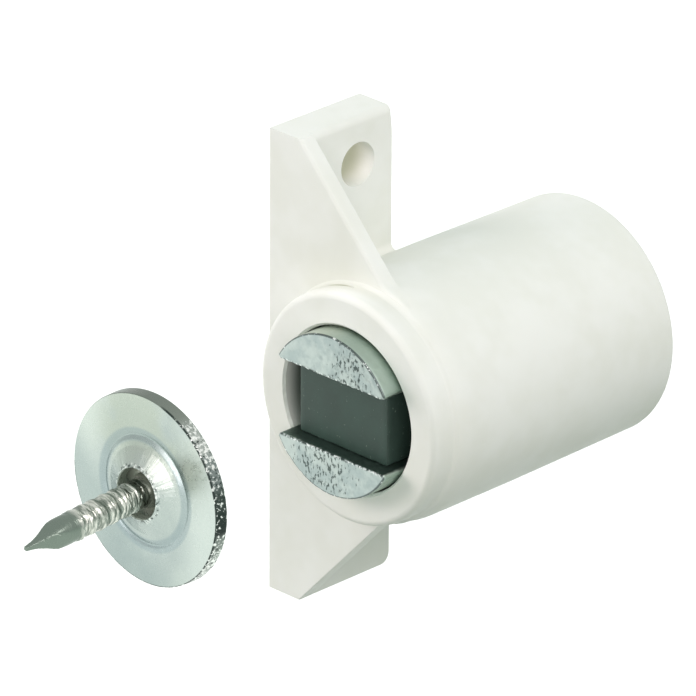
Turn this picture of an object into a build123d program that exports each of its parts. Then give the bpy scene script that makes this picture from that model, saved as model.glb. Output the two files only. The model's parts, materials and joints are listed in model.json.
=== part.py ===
"""Screw-on magnetic catch with a nail-on strike plate.

Frame, in millimetres: the screw flange lies against the cabinet panel in the plane X = 0,
+X points out of that panel, +Y runs along the barrel from the door to the back, and +Z is up.
The origin is midway between the two screw holes, on the face that meets the panel.
"""

from build123d import *
import os
from math import asin, cos, degrees, radians, sin, sqrt

# Screw flange
FLANGE_HEIGHT = 40.0
FLANGE_WIDTH = 10.2
FLANGE_THICKNESS = 3.4
FLANGE_CORNER = 0.9
FLANGE_EDGE = 0.4
SCREW_SPACING = 32.0
SCREW_HOLE = 3.7
SCREW_FROM_FRONT = 6.4

# Barrel
AXIS_HEIGHT = 11.0
BARREL_RADIUS = 10.2
BARREL_DRAFT = 0.15
BARREL_LENGTH = 24.5
BARREL_SHOULDER = 0.5
BARREL_REAR_EDGE = 0.3
FLANGE_BLEND = 0.6
# The most of a step's height that the bevel on it may take
BEVEL_SHARE = 0.9

# Gusset walls at the door end
GUSSET_THICKNESS = 1.4
GUSSET_ANGLE = 47.0
GUSSET_BLEND = 2.0
GUSSET_EDGE = 0.5

# Ring round the magnet, set in from the barrel, and the stepped bore behind it
RING_STEP = 0.5
RING_HEIGHT = 2.4
RING_EDGE = 0.6
BORE_RADIUS = 6.95
BORE_EDGE = 0.2
CORE_RADIUS = 5.0
REAR_WALL = 2.5

# Magnet and pole pieces
POLE_CLEARANCE = 0.15
POLE_LENGTH = 12.0
POLE_PROUD = 1.75
POLE_HALF_WIDTH = 5.8
POLE_EDGE = 0.15
POLE_END = 0.3
MAGNET_WIDTH = 9.6
MAGNET_THICKNESS = 6.4
MAGNET_SETBACK = 1.4
MAGNET_EDGE = 0.2

# Strike plate
STRIKE_RADIUS = 7.9
STRIKE_TAPER = 0.05
STRIKE_THICKNESS = 1.2
STRIKE_EDGE = 0.1
STRIKE_GAP = 19.0
STRIKE_LIFT = 0.3
GROOVE_RADIUS = 4.55
GROOVE_WIDTH = 1.5
GROOVE_DEPTH = 0.12
BOSS_HEIGHT = 0.9
BOSS_TOP_RADIUS = 2.35
BOSS_FOOT_RADIUS = 3.9
BOSS_EDGE = 0.15
BOSS_WALL = 0.9
STRIKE_HOLE = 2.05
RECESS_RADIUS = 3.25
RECESS_FLARE = 0.6
RECESS_EDGE = 0.15

# Strike nail
HEAD_RADIUS = 3.0
HEAD_THICKNESS = 0.7
HEAD_SUNK = 0.25
HEAD_EDGE = 0.1
SHANK_RADIUS = 1.1
RIDGE_HEIGHT = 0.17
RIDGE_PITCH = 1.2
RIDGE_STEEP_SIDE = 0.2
RIDGE_LENGTH = 1.0
RIDGE_COUNT = 6
RIDGE_START = 2.4
NAIL_LENGTH = 13.75
POINT_LENGTH = 4.6
POINT_TURN = 35.0
TIP_WIDTH = 0.25
NAIL_LEAN = 3.3

# How far a cutting tool runs past the face that it starts from
OVERRUN = 1.0
# How close an edge must lie to a place to be taken as lying there
NEAR = 0.01

# Places that several pieces share
FRONT = -SCREW_FROM_FRONT
RING_FACE = FRONT - RING_HEIGHT
BARREL_REAR = FRONT + BARREL_LENGTH
POLE_FACE = RING_FACE - POLE_PROUD
SEAT = POLE_FACE + POLE_LENGTH
POLE_RADIUS = BORE_RADIUS - POLE_CLEARANCE
STRIKE_FACE = POLE_FACE - STRIKE_GAP
STRIKE_PLACE = Location((0, 0, STRIKE_LIFT))
BARREL_AXIS = Axis((AXIS_HEIGHT, 0, 0), (0, 1, 0))
# Sketches on this plane read X across and Z up, and extrude towards the back.
SECTION = Plane((0, 0, 0), x_dir=(1, 0, 0), z_dir=(0, -1, 0))


def extruded(face, start, length):
    """Extrude a section drawn in X and Z from Y = start towards the back."""
    return extrude(SECTION * face, amount=-length).moved(Location((0, start, 0)))


def turned(points, rounds=None, bevels=None):
    """Revolve an outline of (radius, y) points about the barrel's axis.

    rounds gives the radius of each rounded corner by the corner's index, and bevels the
    length of each bevelled one.
    """
    outline = make_face(Polyline(*[(AXIS_HEIGHT + r, y) for r, y in points], close=True))
    for finish, corners in ((fillet, rounds), (chamfer, bevels)):
        for index, size in (corners or {}).items():
            r, y = points[index]
            corner = outline.vertices().sort_by_distance((AXIS_HEIGHT + r, y, 0))[0]
            outline = finish(corner, size)
    return revolve(outline, axis=BARREL_AXIS)


def blend(start, angle, radius):
    """Round the inside corner between a straight flank and the barrel.

    The flank runs from start at angle degrees below +X. Returns the rounding's end on the
    flank, its middle and its end on the barrel, as (x, z) points.
    """
    along = Vector(cos(radians(angle)), -sin(radians(angle)))
    outward = Vector(sin(radians(angle)), cos(radians(angle)))
    axis = Vector(AXIS_HEIGHT, 0)
    offset = Vector(*start) + outward * radius - axis
    reach = BARREL_RADIUS + radius
    middle = offset.dot(along)
    travel = -middle - sqrt(middle**2 - offset.dot(offset) + reach**2)
    centre = axis + offset + along * travel
    on_flank = centre - outward * radius
    on_barrel = centre + (axis - centre).normalized() * radius
    between = centre + ((on_flank - centre) + (on_barrel - centre)).normalized() * radius
    return [(p.X, p.Y) for p in (on_flank, between, on_barrel)]


def barrel_web(start, angle, radius):
    """Draw a wall that runs from the flange's ends to the barrel, both above and below it."""
    on_flank, between, on_barrel = blend(start, angle, radius)
    half = FLANGE_HEIGHT / 2
    upper = Polyline((0, 0), (0, half), start, on_flank)
    upper += ThreePointArc(on_flank, between, on_barrel)
    upper += Polyline(on_barrel, (AXIS_HEIGHT, 0), (0, 0))
    face = make_face(upper)
    return face + mirror(face, about=Plane.XZ)


def make_flange():
    """The screw flange, with its rounded back corners and the fillets up to the barrel."""
    rear = FRONT + FLANGE_WIDTH
    half = FLANGE_HEIGHT / 2
    flange = extruded(barrel_web((FLANGE_THICKNESS, half), 90, FLANGE_BLEND), FRONT, FLANGE_WIDTH)
    corners = flange.edges().filter_by(Axis.X).filter_by(
        lambda e: abs(e.center().Y - rear) < NEAR and abs(abs(e.center().Z) - half) < NEAR
    )
    flange = fillet(corners, FLANGE_CORNER)
    outer = flange.edges().filter_by(
        lambda e: abs(e.center().X - FLANGE_THICKNESS) < NEAR
        and e.center().Y > FRONT + NEAR
        and (abs(e.center().Z) > half - FLANGE_CORNER or e.center().Y > rear - NEAR)
    )
    return fillet(outer, FLANGE_EDGE)


def make_gussets():
    """The thin walls at the door end, above and below the barrel, with a rounded front edge."""
    start = (FLANGE_THICKNESS, FLANGE_HEIGHT / 2)
    walls = extruded(barrel_web(start, GUSSET_ANGLE, GUSSET_BLEND), FRONT, GUSSET_THICKNESS)
    on_flank, _, on_barrel = blend(start, GUSSET_ANGLE, GUSSET_BLEND)
    sloping = walls.edges().filter_by(
        lambda e: abs(e.center().Y - FRONT) < NEAR
        and FLANGE_THICKNESS < e.center().X < on_barrel[0]
        and abs(e.center().Z) > on_barrel[1]
    )
    return fillet(sloping, GUSSET_EDGE)


def make_housing():
    """The moulded housing: flange, gussets, barrel and ring in one piece."""
    rear_radius = BARREL_RADIUS - BARREL_DRAFT
    ring_radius = BARREL_RADIUS - RING_STEP
    shoulder = min(BARREL_SHOULDER, BEVEL_SHARE * RING_STEP)
    barrel = turned(
        [
            (0, RING_FACE),
            (ring_radius, RING_FACE),
            (ring_radius, FRONT),
            (BARREL_RADIUS, FRONT),
            (BARREL_RADIUS, FRONT + FLANGE_WIDTH),
            (rear_radius, BARREL_REAR),
            (0, BARREL_REAR),
        ],
        rounds={1: RING_EDGE},
        bevels={3: shoulder, 5: BARREL_REAR_EDGE},
    )
    bore = turned(
        [
            (0, RING_FACE - OVERRUN),
            (BORE_RADIUS + BORE_EDGE + OVERRUN, RING_FACE - OVERRUN),
            (BORE_RADIUS, RING_FACE + BORE_EDGE),
            (BORE_RADIUS, SEAT),
            (CORE_RADIUS, SEAT),
            (CORE_RADIUS, BARREL_REAR - REAR_WALL),
            (0, BARREL_REAR - REAR_WALL),
        ]
    )
    housing = make_flange() + make_gussets() + barrel - bore
    for side in (-1, 1):
        hole = Cylinder(SCREW_HOLE / 2, 2 * (FLANGE_THICKNESS + OVERRUN), rotation=(0, 90, 0))
        housing -= hole.moved(Location((0, 0, side * SCREW_SPACING / 2)))
    return housing


def make_pole(side):
    """One steel pole piece, above (side = 1) or below (side = -1) the magnet.

    It is a segment of a round bar with its two thin ends cut off and rounded.
    """
    chord = MAGNET_THICKNESS / 2
    shoulder = sqrt(POLE_RADIUS**2 - POLE_HALF_WIDTH**2)
    left, right = AXIS_HEIGHT - POLE_HALF_WIDTH, AXIS_HEIGHT + POLE_HALF_WIDTH
    outline = Polyline((right, shoulder), (right, chord), (left, chord), (left, shoulder))
    outline += ThreePointArc((left, shoulder), (AXIS_HEIGHT, POLE_RADIUS), (right, shoulder))
    pole = extruded(make_face(outline), POLE_FACE, POLE_LENGTH)
    ends = pole.edges().filter_by(Axis.Y).filter_by_position(Axis.Z, chord - NEAR, chord + NEAR)
    pole = fillet(ends, POLE_END)
    front = pole.edges().filter_by_position(Axis.Y, POLE_FACE - NEAR, POLE_FACE + NEAR)
    pole = chamfer(front, POLE_EDGE)
    return pole if side > 0 else mirror(pole, about=Plane.XY)


def make_magnet():
    """The ferrite block between the poles, set back from their faces."""
    face = Rectangle(MAGNET_WIDTH, MAGNET_THICKNESS).moved(Location((AXIS_HEIGHT, 0)))
    start = POLE_FACE + MAGNET_SETBACK
    block = extruded(face, start, POLE_LENGTH - MAGNET_SETBACK)
    upright = block.edges().filter_by(Axis.Z).filter_by_position(Axis.Y, start - NEAR, start + NEAR)
    return chamfer(upright, MAGNET_EDGE)


def make_strike_plate():
    """The pressed steel disc: flat rim, shallow groove, raised boss and rough-punched hole."""
    door_side = STRIKE_FACE - STRIKE_THICKNESS
    boss_top = door_side - BOSS_HEIGHT
    recess_floor = boss_top + BOSS_WALL
    plate = turned(
        [
            (STRIKE_RADIUS, STRIKE_FACE),
            (STRIKE_RADIUS - STRIKE_TAPER, door_side),
            (GROOVE_RADIUS + GROOVE_WIDTH / 2, door_side),
            (GROOVE_RADIUS, door_side + GROOVE_DEPTH),
            (BOSS_FOOT_RADIUS, door_side + GROOVE_DEPTH / 2),
            (BOSS_TOP_RADIUS, boss_top),
            (STRIKE_HOLE, boss_top),
            (STRIKE_HOLE, recess_floor),
            (RECESS_RADIUS, recess_floor),
            (RECESS_RADIUS + RECESS_FLARE, STRIKE_FACE),
        ],
        bevels={1: STRIKE_EDGE, 5: BOSS_EDGE, 8: RECESS_EDGE, 9: RECESS_EDGE},
    )
    return plate.moved(STRIKE_PLACE)


def make_strike_nail():
    """The ring-shank nail, its head sunk in the plate's recess, leaning a little in its hole."""
    head_back = STRIKE_FACE - HEAD_SUNK
    head_front = head_back - HEAD_THICKNESS
    tip = STRIKE_FACE - NAIL_LENGTH
    outline = [(0, head_back), (HEAD_RADIUS, head_back), (HEAD_RADIUS, head_front)]
    outline += [(SHANK_RADIUS, head_front)]
    for ridge in range(RIDGE_COUNT):
        foot = STRIKE_FACE - RIDGE_START - ridge * RIDGE_PITCH
        outline += [
            (SHANK_RADIUS, foot),
            (SHANK_RADIUS + RIDGE_HEIGHT, foot - RIDGE_STEEP_SIDE),
            (SHANK_RADIUS, foot - RIDGE_LENGTH),
        ]
    outline += [(SHANK_RADIUS, tip), (0, tip)]
    nail = turned(outline, bevels={1: HEAD_EDGE, 2: HEAD_EDGE})
    point = extrude(
        Plane((AXIS_HEIGHT, tip, 0), x_dir=(1, 0, 0), z_dir=(0, 1, 0)) * Rectangle(TIP_WIDTH, TIP_WIDTH),
        amount=NAIL_LENGTH,
        taper=-degrees(asin(SHANK_RADIUS / POINT_LENGTH)),
    ).rotate(BARREL_AXIS, POINT_TURN)
    nail = nail & point
    pivot = Axis((AXIS_HEIGHT, (head_back + head_front) / 2, 0), (1, 0, 0))
    return nail.rotate(pivot, NAIL_LEAN).moved(STRIKE_PLACE)


def main():
    """Build every piece and write one STEP file for each."""
    os.makedirs("parts", exist_ok=True)
    pieces = {
        "housing": make_housing(),
        "upper_pole": make_pole(1),
        "lower_pole": make_pole(-1),
        "magnet": make_magnet(),
        "strike_plate": make_strike_plate(),
        "strike_nail": make_strike_nail(),
    }
    for name, piece in pieces.items():
        export_step(piece, f"parts/{name}.step")


main()
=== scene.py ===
"""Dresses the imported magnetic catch: moulded housing, steel poles, ferrite, strike and nail."""

import json
import logging
import math
from dataclasses import dataclass
from enum import Enum
from functools import partial
from typing import Any, Callable, ClassVar, Iterable, Sequence

import bmesh
import bpy
from mathutils import Matrix, Vector, noise


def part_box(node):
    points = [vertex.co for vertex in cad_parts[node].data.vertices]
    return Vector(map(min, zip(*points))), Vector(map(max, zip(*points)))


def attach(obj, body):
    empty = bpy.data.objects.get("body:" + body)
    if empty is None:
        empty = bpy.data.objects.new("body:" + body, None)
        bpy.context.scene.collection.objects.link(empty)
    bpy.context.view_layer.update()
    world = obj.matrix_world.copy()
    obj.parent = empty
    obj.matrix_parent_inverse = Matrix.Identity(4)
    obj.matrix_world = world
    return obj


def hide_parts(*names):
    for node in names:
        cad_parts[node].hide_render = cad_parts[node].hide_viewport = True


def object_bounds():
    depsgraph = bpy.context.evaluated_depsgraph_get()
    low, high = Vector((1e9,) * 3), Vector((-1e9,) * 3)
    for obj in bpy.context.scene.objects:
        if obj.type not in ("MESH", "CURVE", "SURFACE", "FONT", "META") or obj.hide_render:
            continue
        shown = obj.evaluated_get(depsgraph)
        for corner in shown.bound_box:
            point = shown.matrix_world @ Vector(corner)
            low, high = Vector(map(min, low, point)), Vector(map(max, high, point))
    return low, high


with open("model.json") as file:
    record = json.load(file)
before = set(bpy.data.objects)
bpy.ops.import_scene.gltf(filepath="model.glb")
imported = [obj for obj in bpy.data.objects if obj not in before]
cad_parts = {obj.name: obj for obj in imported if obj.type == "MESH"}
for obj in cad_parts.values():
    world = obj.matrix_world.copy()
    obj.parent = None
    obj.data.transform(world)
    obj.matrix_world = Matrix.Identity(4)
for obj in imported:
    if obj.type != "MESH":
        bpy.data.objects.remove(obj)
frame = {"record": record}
CAD_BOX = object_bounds()

LOG = logging.getLogger("magnetic_catch")
MM = 0.001
TURN = 2 * math.pi

EASED = {"interpolation_type": "SMOOTHSTEP"}

Point = tuple[float, float]
EdgeTest = Callable[[bmesh.types.BMEdge], bool]
Adder = Callable[..., bpy.types.Node]
Sockets = dict[Any, Any]


class Body(Enum):
    """The bodies of the catch, by their names in the frame."""

    CATCH = "catch"
    STRIKE = "strike"


class Seen(Enum):
    """What a lamp lights: everything, only scattering surfaces, or only mirror reflections."""

    BOTH = (True, True)
    SURFACES = (True, False)
    REFLECTIONS = (False, True)


class Slot(Enum):
    """The record's material slots."""

    WHITE_PLASTIC = "white_plastic"
    POLE_STEEL = "pole_steel"
    FERRITE = "ferrite"
    PLATE_STEEL = "plate_steel"
    NAIL_STEEL = "nail_steel"


# ---------------------------------------------------------------------------
# The bench: selecting, lathing, outlining, cutting and worrying a mesh
# ---------------------------------------------------------------------------


def put_down() -> None:
    """Leave edit mode and deselect every object."""
    if bpy.context.object and bpy.context.object.mode != "OBJECT":
        bpy.ops.object.mode_set(mode="OBJECT")
    bpy.ops.object.select_all(action="DESELECT")


def take_up(obj: bpy.types.Object) -> None:
    """Make one object active and the only one selected.

    Args:
        obj: The object.
    """
    put_down()
    obj.select_set(True)
    bpy.context.view_layer.objects.active = obj


def edit(obj: bpy.types.Object, select: str = "DESELECT") -> None:
    """Open one object in edit mode with all or nothing selected.

    Args:
        obj: The object.
        select: SELECT or DESELECT.
    """
    take_up(obj)
    bpy.ops.object.mode_set(mode="EDIT")
    bpy.ops.mesh.select_all(action=select)


def pick_edges(obj: bpy.types.Object, test: EdgeTest) -> None:
    """Select the edges that pass a test, in edit mode.

    Args:
        obj: The object in edit mode.
        test: Says whether an edge is wanted.
    """
    bpy.ops.mesh.select_mode(type="EDGE")
    bpy.ops.mesh.select_all(action="DESELECT")
    mesh = bmesh.from_edit_mesh(obj.data)
    for edge in [edge for edge in mesh.edges if test(edge)]:
        edge.select_set(True)
    bmesh.update_edit_mesh(obj.data)


def wire(name: str, points: Sequence[Vector]) -> bpy.types.Object:
    """Draw an open wire by extruding one vertex from point to point.

    Args:
        name: The new object's name.
        points: The wire's corners, in metres.

    Returns:
        The object, left in edit mode.
    """
    put_down()
    bpy.ops.mesh.primitive_plane_add(size=MM, location=(0, 0, 0))
    obj = bpy.context.object
    obj.name = obj.data.name = name
    bpy.ops.object.mode_set(mode="EDIT")
    bpy.ops.mesh.select_mode(type="VERT")
    bpy.ops.mesh.select_all(action="SELECT")
    bpy.ops.mesh.merge(type="CENTER")
    bpy.ops.transform.translate(value=points[0])
    for start, end in zip(points, points[1:]):
        bpy.ops.mesh.extrude_region_move(TRANSFORM_OT_translate={"value": end - start})
    return obj


def lathe(name: str, profile: Sequence[Point], centre: Vector, steps: int) -> bpy.types.Object:
    """Spin a profile about the line through centre along Y, into a closed solid.

    Args:
        name: The new object's name.
        profile: (radius, y) points that start and end on the axis, in metres.
        centre: A point on the axis.
        steps: How many facets go round.

    Returns:
        The turned solid, in object mode.
    """
    obj = wire(name, [Vector((centre.x + r, y, centre.z)) for r, y in profile])
    bpy.ops.mesh.select_all(action="SELECT")
    bpy.ops.mesh.spin(steps=steps, angle=TURN, center=centre, axis=(0, 1, 0))
    bpy.ops.mesh.select_all(action="SELECT")
    bpy.ops.mesh.remove_doubles(threshold=0.0004 * MM)
    bpy.ops.mesh.normals_make_consistent(inside=False)
    put_down()
    return obj


def plate(name: str, outline: Sequence[Point], start: float, length: float) -> bpy.types.Object:
    """Fill an outline drawn in X and Z and extrude it towards the back.

    Args:
        name: The new object's name.
        outline: (x, z) corners in order, in metres.
        start: The front face's Y.
        length: How far it is extruded along +Y.

    Returns:
        The prism, in object mode.
    """
    obj = wire(name, [Vector((x, start, z)) for x, z in outline])
    bpy.ops.mesh.select_all(action="SELECT")
    bpy.ops.mesh.edge_face_add()
    bpy.ops.mesh.extrude_region_move(TRANSFORM_OT_translate={"value": (0, length, 0)})
    bpy.ops.mesh.select_all(action="SELECT")
    bpy.ops.mesh.normals_make_consistent(inside=False)
    put_down()
    return obj


def arc(centre: Point, radius: float, start: float, end: float, steps: int) -> list[Point]:
    """Find points along an arc, both ends included.

    Args:
        centre: The arc's centre.
        radius: Its radius.
        start: The first point's angle, in radians.
        end: The last point's angle.
        steps: How many straight pieces make up the arc.

    Returns:
        The points in order.
    """
    return [
        (
            centre[0] + radius * math.cos(start + (end - start) * i / steps),
            centre[1] + radius * math.sin(start + (end - start) * i / steps),
        )
        for i in range(steps + 1)
    ]


def rounded(points: Sequence[Point], radii: dict[int, float], steps: int = 5) -> list[Point]:
    """Round chosen corners of a profile.

    Args:
        points: The profile's corners.
        radii: The radius at each rounded corner, by its index.
        steps: How many straight pieces make up each rounding.

    Returns:
        The profile with its roundings.
    """
    result: list[Point] = []
    for index, point in enumerate(points):
        radius = radii.get(index)
        if radius is None:
            result.append(point)
            continue
        here = Vector(point)
        before = (Vector(points[index - 1]) - here).normalized()
        after = (Vector(points[(index + 1) % len(points)]) - here).normalized()
        half = before.angle(after) / 2
        centre = here + (before + after).normalized() * radius / math.sin(half)
        first = here + before * radius / math.tan(half) - centre
        last = here + after * radius / math.tan(half) - centre
        sweep = first.angle_signed(last)
        for step in range(steps + 1):
            angle = -sweep * step / steps
            turned = Matrix.Rotation(angle, 2) @ first
            result.append((centre.x + turned.x, centre.y + turned.y))
    return result


def combine(obj: bpy.types.Object, tool: bpy.types.Object, operation: str) -> None:
    """Join a tool to a solid, or cut it out of it, and throw the tool away.

    Args:
        obj: The solid that stays.
        tool: The solid that is used up.
        operation: UNION or DIFFERENCE.
    """
    take_up(obj)
    modifier = obj.modifiers.new("cut", "BOOLEAN")
    modifier.operation = operation
    modifier.solver = "EXACT"
    modifier.object = tool
    bpy.ops.object.modifier_apply(modifier=modifier.name)
    bpy.data.objects.remove(tool)


def score(obj: bpy.types.Object, axis: Vector, places: Iterable[float]) -> None:
    """Cut a whole mesh along parallel planes, so that it has points to shape.

    Args:
        obj: The mesh.
        axis: The planes' normal.
        places: Each plane's distance from the origin along the normal, in metres.
    """
    edit(obj, "SELECT")
    for place in places:
        bpy.ops.mesh.select_all(action="SELECT")
        bpy.ops.mesh.bisect(plane_co=axis * place, plane_no=axis, use_fill=False)
    put_down()


def between(low: float, high: float, pitch: float) -> list[float]:
    """Evenly spaced places strictly between two limits, about a pitch apart."""
    count = max(1, round((high - low) / pitch))
    return [low + (high - low) * i / count for i in range(1, count)]


def worry(obj: bpy.types.Object, move: Callable[[Vector], Vector]) -> None:
    """Move every point of a mesh by what a function says of its place.

    Args:
        obj: The mesh.
        move: Gives the way a point goes from where it is.
    """
    for vertex in obj.data.vertices:
        vertex.co += move(vertex.co.copy())
    obj.data.update()


def rough(place: Vector, grain: float, seed: float = 0.0, octaves: int = 3) -> float:
    """Fractal noise from -1 to 1 whose largest lumps are about one grain across."""
    return noise.fractal(place / grain + Vector((seed, seed * 1.7, -seed)), 0.9, 2.1, octaves)


def ease(value: float, low: float, high: float) -> float:
    """A smooth step from 0 at low to 1 at high; low may be the larger."""
    share = min(1.0, max(0.0, (value - low) / (high - low)))
    return share * share * (3 - 2 * share)


def smooth(obj: bpy.types.Object, degrees: float = 30.0) -> None:
    """Shade a mesh smooth, apart from its sharper edges.

    Args:
        obj: The mesh.
        degrees: The angle past which an edge stays sharp.
    """
    take_up(obj)
    bpy.ops.object.shade_smooth_by_angle(angle=math.radians(degrees))
    put_down()


def issue(obj: bpy.types.Object, cad: str, body: Body, finish: "Finish") -> None:
    """Dress a finished piece and put it in its CAD node's place.

    Args:
        obj: The finished mesh.
        cad: The CAD node that it stands for.
        body: The body that it moves with.
        finish: The finish to give it.
    """
    obj.name = obj.data.name = cad + "_detailed"
    obj.data.materials.clear()
    obj.data.materials.append(finish.material())
    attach(obj, body.value)
    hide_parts(cad)
    LOG.info("%s: %d faces", obj.name, len(obj.data.polygons))


# ---------------------------------------------------------------------------
# Finishes
# ---------------------------------------------------------------------------


def linear(hex_colour: str) -> tuple[float, float, float, float]:
    """Turn an sRGB hex colour into a linear one.

    Args:
        hex_colour: A colour such as #F0F0EC.

    Returns:
        The linear red, green, blue and alpha.
    """
    channels = [int(hex_colour[i : i + 2], 16) / 255 for i in (1, 3, 5)]
    red, green, blue = (
        c / 12.92 if c <= 0.04045 else ((c + 0.055) / 1.055) ** 2.4 for c in channels
    )
    return red, green, blue, 1.0


def node(
    tree: bpy.types.NodeTree,
    kind: str,
    inputs: Sockets,
    stops: Sequence[tuple[float, Any]] = (),
    **settings: Any,
) -> bpy.types.Node:
    """Add one shader node with its settings and links.

    Args:
        tree: The material's node tree.
        kind: The node's type, without its ShaderNode prefix.
        inputs: What goes into each input, by its name or number: a value, an sRGB hex colour,
            an output socket, or a node, whose first live output is then linked.
        stops: A ramp's (place, linear or hex colour) pairs in order.
        settings: Properties of the node itself.

    Returns:
        The node.
    """
    made = tree.nodes.new("ShaderNode" + kind)
    for name, value in settings.items():
        setattr(made, name, value)
    for name, value in inputs.items():
        if isinstance(value, bpy.types.Node):
            value = next(socket for socket in value.outputs if socket.enabled)
        if isinstance(value, bpy.types.NodeSocket):
            tree.links.new(value, made.inputs[name])
        else:
            made.inputs[name].default_value = linear(value) if isinstance(value, str) else value
    while stops and len(made.color_ramp.elements) < len(stops):
        made.color_ramp.elements.new(0.5)
    for index, (place, colour) in enumerate(stops):
        element = made.color_ramp.elements[index]
        element.position = place
        element.color = linear(colour) if isinstance(colour, str) else colour
    return made


def lumps(place: Any, size: float, detail: float = 3.0) -> Sockets:
    """Give a noise's inputs, from how many metres across its largest lumps are."""
    return {"Vector": place, "Scale": 1 / size, "Detail": detail, "Roughness": 0.6}


def length(add: Adder, legs: Sockets) -> bpy.types.Node:
    """Find how far a place is from an axis, from its legs along X (0), Y (1) or Z (2)."""
    return add("VectorMath", {0: add("CombineXYZ", legs)}, operation="LENGTH")


def overlap(add: Adder, first: Any, *others: Any) -> Any:
    """Find where several masks overlap, by multiplying them.

    Args:
        add: Adds a node to the material.
        first: The first mask.
        others: The other masks, or numbers that weaken the result.

    Returns:
        The last node, or the first mask where it is the only one.
    """
    for other in others:
        first = add("Math", {0: first, 1: other}, operation="MULTIPLY")
    return first


def coats(add: Adder, ground: Any, *layers: tuple[Any, Any]) -> Any:
    """Lay coats of colour over a ground, one after another.

    Args:
        add: Adds a node to the material.
        ground: The colour below them all.
        layers: (mask, colour) pairs, from the lowest coat up.

    Returns:
        The last node, which gives the colour on top.
    """
    for mask, colour in layers:
        ground = add("Mix", {0: mask, 6: ground, 7: colour}, data_type="RGBA")
    return ground


def background_rays(add: Adder) -> bpy.types.Node:
    """Mark the rays that see the background: from the camera, a mirror or through glass.

    Args:
        add: Adds a node to the floor's or the world's tree.

    Returns:
        The node that gives 1 on those rays and 0 on the others.
    """
    rays = add("LightPath", {}).outputs
    seen = add("Math", {0: rays["Is Camera Ray"], 1: rays["Is Glossy Ray"]}, operation="MAXIMUM")
    return add("Math", {0: seen, 1: rays["Is Transmission Ray"]}, operation="MAXIMUM")


class Finish:
    """A finish, which makes its material once and hands out the same one after that."""

    name: str

    def material(self) -> bpy.types.Material:
        """Give the finish's material, made at first use.

        Returns:
            The material.
        """
        made = bpy.data.materials.get(self.name)
        if made is None:
            made = bpy.data.materials.new(self.name)
            made.use_nodes = True
            made.node_tree.nodes.clear()
            add = partial(node, made.node_tree)
            place = add("TexCoord", {}).outputs["Object"]
            shader = add("BsdfPrincipled", self.shade(add, place))
            add("OutputMaterial", {"Surface": shader})
        return made

    def shade(self, add: Adder, place: Any) -> Sockets:
        """Build the pattern and return what goes into the shader's sockets."""
        raise NotImplementedError


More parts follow.
